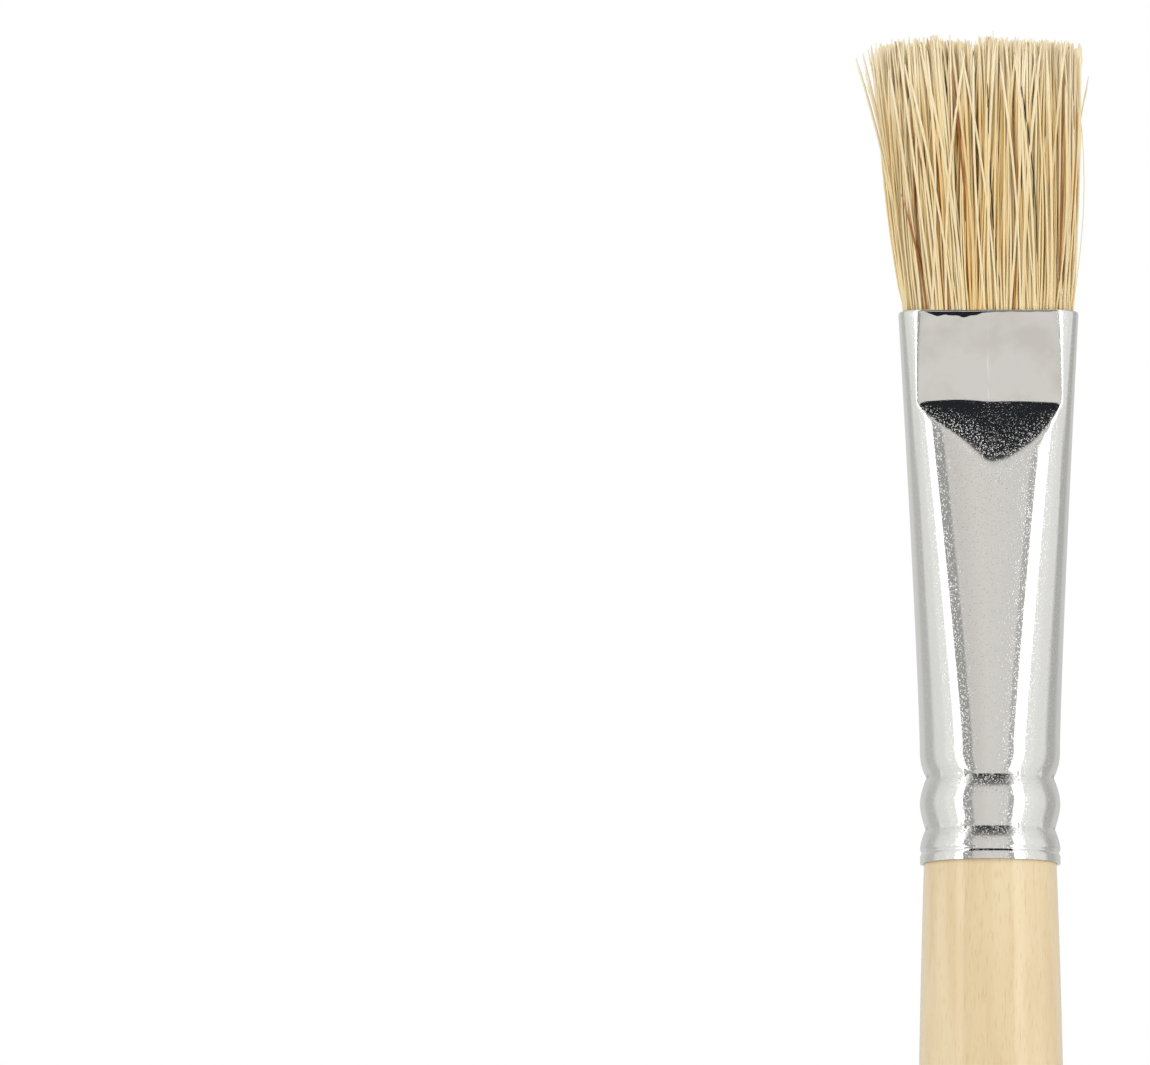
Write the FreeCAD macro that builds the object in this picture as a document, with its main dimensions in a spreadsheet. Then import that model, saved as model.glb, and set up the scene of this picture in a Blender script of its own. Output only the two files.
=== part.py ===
"""Flat bristle brush: a turned handle, a pressed and crimped ferrule, a resin plug and locks of bristle.

Frame: millimetres, +Z up along the brush from the handle's tail to the bristle tips, X across the
flat of the brush, the front flat facing -Y. The origin is the lowest point of the tail, on the axis.
"""

import FreeCAD, Part

import math
import os
from FreeCAD import Placement, Rotation, Vector
from Sketcher import Constraint

# Driving dimensions in millimetres, one spreadsheet cell each. Ratios and counts are marked.
DRIVING = {
    # whole brush
    "overall_length": 210.0,
    "bristle_showing": 24.5,      # from the ferrule's mouth to the bristle tips
    "ferrule_length": 50.0,
    # ferrule: a drawn tube, flared and pressed flat at the mouth, crimped on to the handle
    "tube_diameter": 12.65,       # outside, where the tube is still round
    "tube_wall": 0.3,
    "mouth_width": 16.3,
    "pressed_thickness": 6.2,     # outside, between the two press flats
    "pressed_height": 8.2,        # the flats' height below the mouth
    "press_runout": 16.0,         # height over which the press marks run out into the tube
    "flare_power": 1.2,           # ratio: 1 is a straight cone, more widens later
    "skirt_step": 0.025,          # steps and depths are radial, in from the round tube
    "skirt_height": 1.1,          # heights here are from the ferrule's rear end
    "rear_crimp_height": 3.1,
    "rear_crimp_depth": 0.4,
    "front_crimp_height": 8.0,
    "front_crimp_depth": 0.575,
    "shoulder_height": 10.7,      # where the front crimp's shoulder meets the tube
    "jaw_count": 14,              # count: crimping jaws, which leave a ridge between each two
    "jaw_ridge_width": 0.22,
    "jaw_ridge_length": 0.7,
    # handle
    "fit_clearance": 0.02,        # radial, between the tenon and the ferrule
    "tenon_length": 18.0,
    "tenon_taper": 0.8,           # radial, from the shoulder to the tenon's end
    "belly_diameter": 13.4,
    "belly_drop": 42.0,           # from the ferrule's rear end down to the grip land
    "grip_land_length": 10.0,     # the cylindrical stretch at the belly
    "tail_diameter": 6.4,
    "hollow_share": 0.4,          # ratio: the part of the taper that is hollow, from the tail up
    # resin plug and bristles
    "tenon_space": 2.5,           # from the tenon's end up to the plug
    "bristle_hidden": 19.65,      # from the ferrule's mouth down to the bristles' butts
    "butt_grip": 3.15,            # how deep the butts stand in the plug
    "bond_gap": 0.02,             # between the plug and the ferrule's inside
    "butt_margin": 0.6,           # resin around the bristle butts
    "pack_gap": 0.06,             # between the bristles and the ferrule, and between two locks
    "tip_width": 18.8,
    "tip_thickness": 8.0,
}

# Sizes worked out from the driving ones, in a second sheet whose cells hold formulas.
DERIVED = {
    "rear": "Sizes.overall_length - Sizes.bristle_showing - Sizes.ferrule_length",
    "mouth": "Sizes.overall_length - Sizes.bristle_showing",
    "crease": "mouth - Sizes.pressed_height",
    "shoulder": "rear + Sizes.shoulder_height",
    "front_crimp": "rear + Sizes.front_crimp_height",
    "rear_crimp": "rear + Sizes.rear_crimp_height",
    "bead": "(front_crimp + rear_crimp) / 2",
    "skirt_top": "rear + Sizes.skirt_height",
    "tube_radius": "Sizes.tube_diameter / 2",
    "mouth_half": "Sizes.mouth_width / 2",
    "press_half": "Sizes.pressed_thickness / 2",
    "skirt_radius": "tube_radius - Sizes.skirt_step",
    "rear_crimp_radius": "tube_radius - Sizes.rear_crimp_depth",
    "front_crimp_radius": "tube_radius - Sizes.front_crimp_depth",
    "lining": "Sizes.tube_wall + Sizes.fit_clearance",
    "pack_inset": "Sizes.tube_wall + Sizes.pack_gap",
    "tenon_top": "rear + Sizes.tenon_length",
    "tenon_tip_radius": "tube_radius - lining - Sizes.tenon_taper",
    "belly_radius": "Sizes.belly_diameter / 2",
    "tail_radius": "Sizes.tail_diameter / 2",
    "land_top": "rear - Sizes.belly_drop",
    "land_bottom": "land_top - Sizes.grip_land_length",
    "turn_radius": "tail_radius + (belly_radius - tail_radius) * Sizes.hollow_share",
    "turn_height": "tail_radius + (land_bottom - tail_radius) * Sizes.hollow_share",
    "butts": "mouth - Sizes.bristle_hidden",
    "butt_share": "(butts - shoulder) / (mouth - shoulder)",
    "plug_bottom": "tenon_top + Sizes.tenon_space",
    "plug_top": "butts + Sizes.butt_grip",
    # half the thickness of the middle row of locks, a third of the tuft's
    "row_half_butt": "(press_half - pack_inset) / 3",
    "row_half_tip": "Sizes.tip_thickness / 6",
}

# Shares of the flare, from the shoulder up to the mouth, at which the ferrule has a cross-section.
FLARE_SHARES = (0.0, 0.25, 0.5, 0.75, 1.0)
BUTT_SHARE = "Worked.butt_share"
ROWS = ("back", "middle", "front")
COLUMNS = 6
LAP = 2.0              # how far a cutting solid runs past what it cuts
SMALL = 1e-6

# A flat sketch whose x and y are the brush's X and Z, and one whose x and y are its Y and Z.
UPRIGHT_XZ = Placement(Vector(0, 0, 0), Rotation(Vector(1, 0, 0), 90))
UPRIGHT_YZ = Placement(Vector(0, 0, 0), Rotation(Vector(1, 1, 1), 120))

# How an outline goes on from a corner: straight, or on an arc that stands upright at this corner
# or at the next one. Such an arc is settled by its two ends.
STRAIGHT, LEAVES_UPRIGHT, ARRIVES_UPRIGHT = "straight", "leaves upright", "arrives upright"

doc = FreeCAD.newDocument("brush")
sheet = doc.addObject("Spreadsheet::Sheet", "Sizes")
worked = doc.addObject("Spreadsheet::Sheet", "Worked")


def fill_sheets():
    """Writes the driving numbers and then the formulas, each cell under its alias."""
    for row, (alias, number) in enumerate(DRIVING.items(), 1):
        sheet.set(f"A{row}", alias)
        sheet.set(f"B{row}", str(number))
        sheet.setAlias(f"B{row}", alias)
    doc.recompute()
    for row, (alias, formula) in enumerate(DERIVED.items(), 1):
        worked.set(f"A{row}", alias)
        worked.set(f"B{row}", f"={formula}")
        worked.setAlias(f"B{row}", alias)
        doc.recompute()


def value(formula):
    """The present value of a formula on the two sheets."""
    return float(sheet.evalExpression(formula))


def bind(thing, **formulas):
    """Ties properties of an object to formulas. X, Y and Z are its place."""
    for name, formula in formulas.items():
        path = f".Placement.Base.{name.lower()}" if name in ("X", "Y", "Z") else name
        thing.setExpression(path, formula)


def add(kind, name, **properties):
    """A new object of the document with its label and properties set."""
    made = doc.addObject(kind, name)
    made.Label = name
    for key, setting in properties.items():
        setattr(made, key, setting)
    return made


# ---------------------------------------------------------------- outlines

def upright_arc(upright, other):
    """The centre and radius of the arc that stands upright at one point and ends at another."""
    across, along = other.x - upright.x, other.y - upright.y
    radius = (across ** 2 + along ** 2) / (2 * abs(across))
    return Vector(upright.x + math.copysign(radius, across), upright.y, 0), radius


def edge_shape(start, end, way):
    """The line or arc from one corner to the next."""
    if way == STRAIGHT:
        return Part.LineSegment(start, end)
    centre, radius = upright_arc(start, end) if way == LEAVES_UPRIGHT else upright_arc(end, start)
    middle = centre + ((start + end) / 2 - centre).normalize() * radius
    # a sketch counts an arc's ends anticlockwise, so it is made that way round
    anticlockwise = (start - centre).cross(end - centre).z > 0
    return Part.Arc(start, middle, end) if anticlockwise else Part.Arc(end, middle, start)


def draw(sketch, corners):
    """Draws a closed outline in a sketch and ties every corner to its formulas.

    Each corner is (x formula, y formula, way), and way says how the outline goes on from it."""
    points = [Vector(value(x), value(y), 0) for x, y, _ in corners]
    total = len(corners)
    for number, (_, _, way) in enumerate(corners):
        sketch.addGeometry(edge_shape(points[number], points[(number + 1) % total], way), False)

    def end_at(edge, corner):
        """Which end of an edge is at a corner: 1 is its first point and 2 its last."""
        shape = sketch.Geometry[edge]
        return 1 if (shape.value(shape.FirstParameter) - points[corner]).Length < SMALL else 2

    rules, formulas = [], {}
    for number, (x, y, way) in enumerate(corners):
        after = (number + 1) % total
        rules.append(Constraint("Coincident", number, end_at(number, after), after,
                                end_at(after, after)))
        for kind, formula, place in (("DistanceX", x, points[number].x),
                                     ("DistanceY", y, points[number].y)):
            formulas[len(rules)] = formula
            rules.append(Constraint(kind, -1, 1, number, end_at(number, number), place))
        if way != STRAIGHT:
            upright = number if way == LEAVES_UPRIGHT else after
            rules.append(Constraint("Horizontal", number, 3, number, end_at(number, upright)))
    sketch.addConstraint(rules)
    for rule, formula in formulas.items():
        sketch.setExpression(f"Constraints[{rule}]", formula)
    return sketch


def outline(name, corners, placement):
    """A closed sketch that stands by itself."""
    return draw(add("Sketcher::SketchObject", name, Placement=placement), corners)


# ---------------------------------------------------------------- the tube and its press marks

def half_width(share):
    """Formula for half the tube's width at a share of the flare."""
    return (f"(Worked.tube_radius + (Worked.mouth_half - Worked.tube_radius)"
            f" * ({share}) ^ Sizes.flare_power)")


def half_depth(share):
    """Formula for half its depth, from an ellipse whose girth stays that of the round tube."""
    r, a = "Worked.tube_radius", half_width(share)
    return f"((6 * {r} - 4 * {a} + sqrt(12 * {r} ^ 2 + 24 * {r} * {a} - 20 * {a} ^ 2)) / 6)"


def section_height(share):
    """Formula for the height of a cross-section of the flare."""
    return f"(Worked.shoulder + (Worked.mouth - Worked.shoulder) * ({share}))"


def ellipse(name, wide, deep, height):
    """An ellipse across the brush, its long axis along X, tied to formulas for its half-axes."""
    made = add("Part::Ellipse", name, MajorRadius=10.0, MinorRadius=5.0)
    bind(made, MajorRadius=wide, MinorRadius=deep, Z=height)
    return made


def flare(name, inset, shares=FLARE_SHARES):
    """The flared tube as a solid, taken in all round by inset, before the press."""
    sections = [ellipse(f"{name}_section_{number}", f"{half_width(share)} - {inset}",
                        f"{half_depth(share)} - {inset}", section_height(share))
                for number, share in enumerate(shares)]
    return add("Part::Loft", name, Sections=sections, Solid=True, Ruled=False)


def jaw_gap(name, inset, top_half, top):
    """The space between the press jaws, as a solid right across the brush and taken in by inset.

    It is parallel from the mouth down to the crease. Below that each side runs out on an arc that
    meets the round tube upright. Above the mouth it changes to top_half at the height top."""
    flat = f"(Worked.press_half - {inset})"
    wide = f"(Worked.tube_radius - {inset})"
    bottom = f"Worked.rear - {LAP}"
    runout = "Worked.crease - Sizes.press_runout"
    right = [(wide, bottom, STRAIGHT), (wide, runout, LEAVES_UPRIGHT),
             (flat, "Worked.crease", STRAIGHT), (flat, "Worked.mouth", STRAIGHT),
             (top_half, top, STRAIGHT)]
    left = [(f"-{top_half}", top, STRAIGHT), (f"-{flat}", "Worked.mouth", STRAIGHT),
            (f"-{flat}", "Worked.crease", ARRIVES_UPRIGHT), (f"-{wide}", runout, STRAIGHT),
            (f"-{wide}", bottom, STRAIGHT)]
    sketch = outline(f"{name}_outline", right + left, UPRIGHT_YZ)
    made = add("Part::Extrusion", name, Base=sketch, DirMode="Normal", Solid=True, Symmetric=True)
    bind(made, LengthFwd="4 * Sizes.mouth_width")
    return made


def crimped_corners(inset):
    """The outline of the crimped end, from the skirt up to the round tube, taken in by inset."""
    def corner(radius, height, way):
        return (f"{radius} - {inset}", height, way)

    return [
        corner("Worked.skirt_radius", "Worked.rear", STRAIGHT),
        corner("Worked.skirt_radius", "Worked.skirt_top", LEAVES_UPRIGHT),
        corner("Worked.rear_crimp_radius", "Worked.rear_crimp", ARRIVES_UPRIGHT),
        corner("Worked.tube_radius", "Worked.bead", LEAVES_UPRIGHT),
        corner("Worked.front_crimp_radius", "Worked.front_crimp", ARRIVES_UPRIGHT),
        corner("Worked.tube_radius", "Worked.shoulder", STRAIGHT),
    ]


def crimped_end(name, inset):
    """The round, crimped end of the ferrule as a solid, taken in by inset."""
    corners = [("0", "Worked.rear", STRAIGHT)] + crimped_corners(inset)
    corners.append(("0", "Worked.shoulder", STRAIGHT))
    sketch = outline(f"{name}_outline", corners, UPRIGHT_XZ)
    return add("Part::Revolution", name, Source=sketch, Axis=Vector(0, 0, 1),
               Base=Vector(0, 0, 0), Angle=360.0, Solid=True)


def tube_form(name, inset):
    """The whole ferrule as if it were solid, taken in all round by inset."""
    jaws = jaw_gap(f"{name}_jaws", inset, f"(Worked.press_half - {inset})",
                   f"Worked.mouth + {LAP}")
    front = add("Part::Common", f"{name}_front", Base=flare(f"{name}_flare", inset), Tool=jaws)
    rear = crimped_end(f"{name}_rear", inset)
    return add("Part::Fuse", name, Base=front, Tool=rear)


# ---------------------------------------------------------------- ferrule

def jaw_ridges():
    """The small upright ridges that stand in both crimps where two crimping jaws met."""
    ridges = []
    for crimp in ("front", "rear"):
        for number in range(int(value("Sizes.jaw_count"))):
            ridge = add("Part::Box", f"{crimp}_ridge_{number}")
            turn = f"360 / Sizes.jaw_count * {number}"
            inner = f"(Worked.{crimp}_crimp_radius - Sizes.tube_wall * 0.7)"
            half = "Sizes.jaw_ridge_width / 2"
            bind(ridge, Length="Sizes.tube_wall * 1.2", Width="Sizes.jaw_ridge_width",
                 Height="Sizes.jaw_ridge_length",
                 X=f"{inner} * cos({turn}) + {half} * sin({turn})",
                 Y=f"{inner} * sin({turn}) - {half} * cos({turn})",
                 Z=f"Worked.{crimp}_crimp - Sizes.jaw_ridge_length / 2")
            ridge.setExpression(".Placement.Rotation.Angle", turn)
            ridges.append(ridge)
    return ridges


def ferrule():
    """The drawn tube: flared and pressed flat at the mouth, crimped at the rear."""
    tube = add("Part::Cut", "ferrule_tube", Base=tube_form("ferrule_outside", "0"),
               Tool=tube_form("ferrule_inside", "Sizes.tube_wall"))
    return add("Part::MultiFuse", "ferrule", Shapes=[tube] + jaw_ridges())


# ---------------------------------------------------------------- handle

def handle():
    """The turned handle: domed tail, hollow then full taper, grip land, neck and crimped tenon."""
    corners = [
        ("0", "0", ARRIVES_UPRIGHT),
        ("Worked.tail_radius", "Worked.tail_radius", LEAVES_UPRIGHT),
        ("Worked.turn_radius", "Worked.turn_height", ARRIVES_UPRIGHT),
        ("Worked.belly_radius", "Worked.land_bottom", STRAIGHT),
        ("Worked.belly_radius", "Worked.land_top", LEAVES_UPRIGHT),
    ]
    corners += crimped_corners("Worked.lining")
    corners += [("Worked.tenon_tip_radius", "Worked.tenon_top", STRAIGHT),
                ("0", "Worked.tenon_top", STRAIGHT)]
    body = add("PartDesign::Body", "handle")
    plane = [feature for feature in body.Origin.OriginFeatures if feature.Role == "XZ_Plane"][0]
    sketch = body.newObject("Sketcher::SketchObject", "handle_outline")
    sketch.AttachmentSupport = [(plane, "")]
    sketch.MapMode = "FlatFace"
    doc.recompute()
    draw(sketch, corners)
    doc.recompute()
    turning = body.newObject("PartDesign::Revolution", "handle_turning")
    turning.Profile = sketch
    turning.ReferenceAxis = (sketch, ["V_Axis"])
    turning.Angle = 360.0
    body.Tip = turning
    return body


# ---------------------------------------------------------------- bristles and resin

def bristle_pack():
    """The whole tuft as one solid, from the butts in the resin to the trimmed tips."""
    butt_inset = "Worked.pack_inset - Sizes.butt_margin"
    sections = []
    for place, share, inset in (("butts", BUTT_SHARE, butt_inset),
                                ("middle", f"(1 + {BUTT_SHARE}) / 2", "Worked.pack_inset"),
                                ("mouth", "1", "Worked.pack_inset")):
        sections.append(ellipse(f"pack_at_{place}", f"{half_width(share)} - {inset}",
                                f"{half_depth(share)} - {inset}", section_height(share)))
    # above the mouth the oval grows in thickness by as much as the flats move apart
    sections.append(ellipse("pack_at_tips", "Sizes.tip_width / 2",
                            f"{half_depth(1)} - Worked.press_half + Sizes.tip_thickness / 2",
                            "Sizes.overall_length"))
    fan = add("Part::Loft", "pack_fan", Sections=sections, Solid=True, Ruled=True)
    jaws = jaw_gap("pack_jaws", "Worked.pack_inset", "Sizes.tip_thickness / 2",
                   "Sizes.overall_length")
    return add("Part::Common", "bristle_pack", Base=fan, Tool=jaws)


def lock_wedge(name, row, column):
    """A long wedge that cuts one lock out of the pack. Its sides fan out from butts to tips."""
    wedge = add("Part::Wedge", name, Placement=UPRIGHT_XZ)
    half_gap = "Sizes.pack_gap / 2"
    butt_half = f"({half_width(BUTT_SHARE)} - Worked.pack_inset - Sizes.butt_margin)"
    for ends, half in (("X", butt_half), ("X2", "Sizes.tip_width / 2")):
        low = f"{2 * column / COLUMNS - 1} * {half} + {half_gap}"
        high = f"{2 * (column + 1) / COLUMNS - 1} * {half} - {half_gap}"
        bind(wedge, **{f"{ends}min": f"{low} - {LAP}" if column == 0 else low, f"{ends}max": high})
    # the wedge's own Z runs towards the front of the brush
    far = "Sizes.tube_diameter"
    for ends, half in (("Z", "Worked.row_half_butt"), ("Z2", "Worked.row_half_tip")):
        low, high = {"back": (f"-{far}", f"-{half} - {half_gap}"),
                     "middle": (f"-{half} + {half_gap}", f"{half} - {half_gap}"),
                     "front": (f"{half} + {half_gap}", far)}[row]
        bind(wedge, **{f"{ends}min": low, f"{ends}max": high})
    bind(wedge, Ymin=f"Worked.butts - {LAP}", Ymax=f"Sizes.overall_length + {LAP}")
    return wedge


def bristle_locks(pack):
    """The tuft as locks: three rows through its thickness and columns across its width. They are
    cut from the left half, and the right half mirrors them."""
    locks = []
    for row in ROWS:
        for column in range(COLUMNS // 2):
            left = add("Part::Common", f"bristle_lock_{row}_{column + 1}", Base=pack,
                       Tool=lock_wedge(f"{row}_wedge_{column + 1}", row, column))
            right = add("Part::Mirroring", f"bristle_lock_{row}_{COLUMNS - column}", Source=left,
                        Normal=Vector(1, 0, 0))
            locks += [left, right]
    return locks


def resin_plug(pack):
    """The cast resin that fills the ferrule under the bristles and cups their butts."""
    slab = add("Part::Box", "plug_slab")
    bind(slab, Length="2 * Sizes.mouth_width", Width="2 * Sizes.mouth_width",
         Height="Worked.plug_top - Worked.plug_bottom", X="-Sizes.mouth_width",
         Y="-Sizes.mouth_width", Z="Worked.plug_bottom")
    filling = tube_form("plug_filling", "(Sizes.tube_wall + Sizes.bond_gap)")
    blank = add("Part::Common", "plug_blank", Base=filling, Tool=slab)
    return add("Part::Cut", "resin_plug", Base=blank, Tool=pack)


# ---------------------------------------------------------------- build, check and write

def write(piece):
    """Checks a sub-part's shape and writes it to its STEP file."""
    shape = piece.Shape
    if shape.isNull() or not shape.isValid() or not shape.Solids:
        raise RuntimeError(f"{piece.Label} has no valid solid")
    shape.exportStep(f"parts/{piece.Label}.step")
    box = shape.optimalBoundingBox(False)
    print(f"{piece.Label}: {len(shape.Solids)} solid, {shape.Volume:.1f} mm3,"
          f" {box.XLength:.2f} x {box.YLength:.2f} x {box.ZLength:.2f}")


def main():
    """Builds every sub-part, checks the whole document and writes the STEP files."""
    os.makedirs("parts", exist_ok=True)
    fill_sheets()
    pack = bristle_pack()
    pieces = [handle(), ferrule(), resin_plug(pack)] + bristle_locks(pack)
    doc.recompute()
    broken = [thing.Label for thing in doc.Objects if {"Invalid", "Error"} & set(thing.State)]
    if broken:
        raise RuntimeError(f"these objects did not build: {broken}")
    for piece in pieces:
        write(piece)


main()
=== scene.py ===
"""Looks of a flat hog-bristle brush: plated ferrule, lacquered handle and a tuft of separate hairs.

Everything is in metres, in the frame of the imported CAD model: +Z up along the brush, X across its
flat, the front flat facing -Y, and the origin at the handle's tail. Lengths that a person would
give in millimetres are written in millimetres times MM.
"""

import logging
import math
from dataclasses import dataclass, field
from enum import Enum
from functools import partial

import bpy
import numpy as np
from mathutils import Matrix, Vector

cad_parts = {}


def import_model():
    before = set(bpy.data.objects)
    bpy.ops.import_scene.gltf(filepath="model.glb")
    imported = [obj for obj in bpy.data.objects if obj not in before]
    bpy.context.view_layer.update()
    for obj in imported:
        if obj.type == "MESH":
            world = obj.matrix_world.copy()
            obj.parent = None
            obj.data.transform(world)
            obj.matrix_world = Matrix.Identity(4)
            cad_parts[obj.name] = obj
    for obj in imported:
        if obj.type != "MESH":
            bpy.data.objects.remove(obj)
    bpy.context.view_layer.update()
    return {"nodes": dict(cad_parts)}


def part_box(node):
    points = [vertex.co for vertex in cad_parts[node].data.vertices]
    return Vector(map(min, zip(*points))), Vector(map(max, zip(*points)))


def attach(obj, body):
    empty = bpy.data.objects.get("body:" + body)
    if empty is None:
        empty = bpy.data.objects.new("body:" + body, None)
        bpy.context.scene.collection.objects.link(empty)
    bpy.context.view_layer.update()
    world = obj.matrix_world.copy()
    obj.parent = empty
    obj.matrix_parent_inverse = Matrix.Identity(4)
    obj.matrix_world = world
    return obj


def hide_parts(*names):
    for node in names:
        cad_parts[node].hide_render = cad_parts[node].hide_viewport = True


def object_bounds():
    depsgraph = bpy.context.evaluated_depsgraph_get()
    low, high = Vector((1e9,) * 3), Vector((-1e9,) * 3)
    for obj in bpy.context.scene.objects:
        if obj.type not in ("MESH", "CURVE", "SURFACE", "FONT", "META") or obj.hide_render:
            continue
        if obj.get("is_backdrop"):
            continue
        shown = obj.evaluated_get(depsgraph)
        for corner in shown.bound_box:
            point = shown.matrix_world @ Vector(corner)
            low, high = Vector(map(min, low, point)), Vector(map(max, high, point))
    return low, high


log = logging.getLogger("brush")

MM = 0.001
FRONT = -math.pi / 2          # the angle of the front, -Y, about the brush's axis
BODY = "root"                 # nothing on the brush moves, so it is one body
Profile = list[tuple[float, float]]      # (height, radius) pairs, from low to high
Array = np.ndarray
Material, Tree = bpy.types.Material, bpy.types.NodeTree
Node, Socket = bpy.types.Node, bpy.types.NodeSocket
Adder = partial[Node]                    # add_node, with its tree given


# ---- small tools

def linear(hex_colour: str) -> tuple[float, float, float, float]:
    """Turns an sRGB colour such as "E6CFA0" to linear light.

    Args:
        hex_colour: Six hexadecimal digits.

    Returns:
        Linear red, green and blue, and an alpha of 1.
    """
    channels = [int(hex_colour[i:i + 2], 16) / 255 for i in (0, 2, 4)]
    return (*((c / 12.92 if c <= 0.04045 else ((c + 0.055) / 1.055) ** 2.4) for c in channels), 1.0)


def add_node(tree: Tree, kind: str, inputs: dict | list = (), **settings: object) -> Node:
    """Adds a shader node to a tree.

    Args:
        tree: The node tree.
        kind: The node's type without its "ShaderNode", such as "Bump".
        inputs: By name, or in order from the first: a value, the output socket to link from, or
            the node whose first enabled output to link from.
        **settings: Properties of the node itself.

    Returns:
        The new node.
    """
    made = tree.nodes.new("ShaderNode" + kind)
    for name, setting in settings.items():
        setattr(made, name, setting)
    for name, source in inputs.items() if isinstance(inputs, dict) else enumerate(inputs):
        if isinstance(source, Node):
            source = next(output for output in source.outputs if output.enabled)
        if isinstance(source, Socket):
            tree.links.new(source, made.inputs[name])
        else:
            made.inputs[name].default_value = source
    return made


def add_mix(add: Adder, share: Node, low: object, high: object) -> Node:
    """Adds a mix of two colours: low where the share is 0, and high where it is 1."""
    return add("Mix", {"Factor": share, "A": low, "B": high}, data_type="RGBA")


def set_ramp(node: Node, stops: list[tuple[float, tuple]]) -> None:
    """Gives a colour ramp its stops.

    Args:
        node: The ramp.
        stops: Pairs of place and linear colour.
    """
    elements = node.color_ramp.elements
    while len(elements) > len(stops):
        elements.remove(elements[-1])
    while len(elements) < len(stops):
        elements.new(1.0)
    for element, (place, colour) in zip(elements, stops):
        element.position = place
        element.color = colour


def new_material(name: str) -> tuple[Material, Adder, Socket]:
    """Makes an empty node material.

    Args:
        name: The material's name.

    Returns:
        The material, the adder of nodes to it, and the socket of the Object coordinates.
    """
    material = bpy.data.materials.new(name)
    material.use_nodes = True
    material.node_tree.nodes.clear()
    add = partial(add_node, material.node_tree)
    return material, add, add("TexCoord").outputs["Object"]


def add_surface(add: Adder, inputs: dict) -> None:
    """Ends a material with a Principled BSDF that has these inputs, and the output."""
    add("OutputMaterial", {"Surface": add("BsdfPrincipled", inputs)})


def rings(name: str, profile: Profile, segments: int, closed_ends: bool) -> bpy.types.Object:
    """Models a round piece as a stack of rings: a circle, extruded up and scaled again and again.

    Args:
        name: The object's name.
        profile: The rings, from low to high.
        segments: Corners in each ring. The first stands at +X.
        closed_ends: Whether both ends are closed with a fan of faces.

    Returns:
        The object, at the origin, with its rings in order in its vertex list.
    """
    height, radius = profile[0]
    bpy.ops.object.select_all(action="DESELECT")
    bpy.ops.mesh.primitive_circle_add(vertices=segments, radius=radius, location=(0, 0, height))
    made = bpy.context.object
    made.name = made.data.name = name
    bpy.ops.object.transform_apply(location=True, rotation=False, scale=False)
    bpy.ops.object.mode_set(mode="EDIT")
    bpy.ops.mesh.select_all(action="SELECT")
    for next_height, next_radius in profile[1:]:
        bpy.ops.mesh.extrude_region_move(
            TRANSFORM_OT_translate={"value": (0, 0, next_height - height)})
        grow = next_radius / radius
        bpy.ops.transform.resize(value=(grow, grow, 1), center_override=(0, 0, next_height))
        height, radius = next_height, next_radius
    if closed_ends:
        bpy.ops.mesh.select_all(action="DESELECT")
        bpy.ops.mesh.select_non_manifold()
        bpy.ops.mesh.edge_face_add()
    bpy.ops.mesh.select_all(action="SELECT")
    bpy.ops.mesh.normals_make_consistent(inside=False)
    bpy.ops.object.mode_set(mode="OBJECT")
    return made


def get_points(mesh: bpy.types.Mesh) -> Array:
    """The mesh's vertices as an array of rows of x, y and z."""
    points = np.empty(len(mesh.vertices) * 3)
    mesh.vertices.foreach_get("co", points)
    return points.reshape(-1, 3)


def set_points(mesh: bpy.types.Mesh, points: Array) -> None:
    """Puts the vertices where the array says."""
    mesh.vertices.foreach_set("co", points.ravel())
    mesh.update()


def dress(piece: bpy.types.Object, material: Material, stands_for: str) -> None:
    """Gives a piece its material and its place in the object.

    Args:
        piece: The finished piece.
        material: Its material.
        stands_for: The CAD node that it replaces.
    """
    piece.data.materials.clear()
    piece.data.materials.append(material)
    piece.data.polygons.foreach_set("use_smooth", [True] * len(piece.data.polygons))
    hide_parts(stands_for)
    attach(piece, BODY)
    log.info("%s: %d faces, stands for %s", piece.name, len(piece.data.polygons), stands_for)


def soft_least(a: Array, b: Array, blend: float) -> Array:
    """The lesser of two arrays, with the corner between them rounded over a width of blend."""
    mix = np.clip(0.5 + 0.5 * (b - a) / blend, 0, 1)
    return b * (1 - mix) + a * mix - blend * mix * (1 - mix)


def smooth_step(low: float, high: float, x: Array) -> Array:
    """Rises smoothly from 0 at low to 1 at high."""
    t = np.clip((x - low) / (high - low), 0, 1)
    return t * t * (3 - 2 * t)


# ---- finishes

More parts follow.
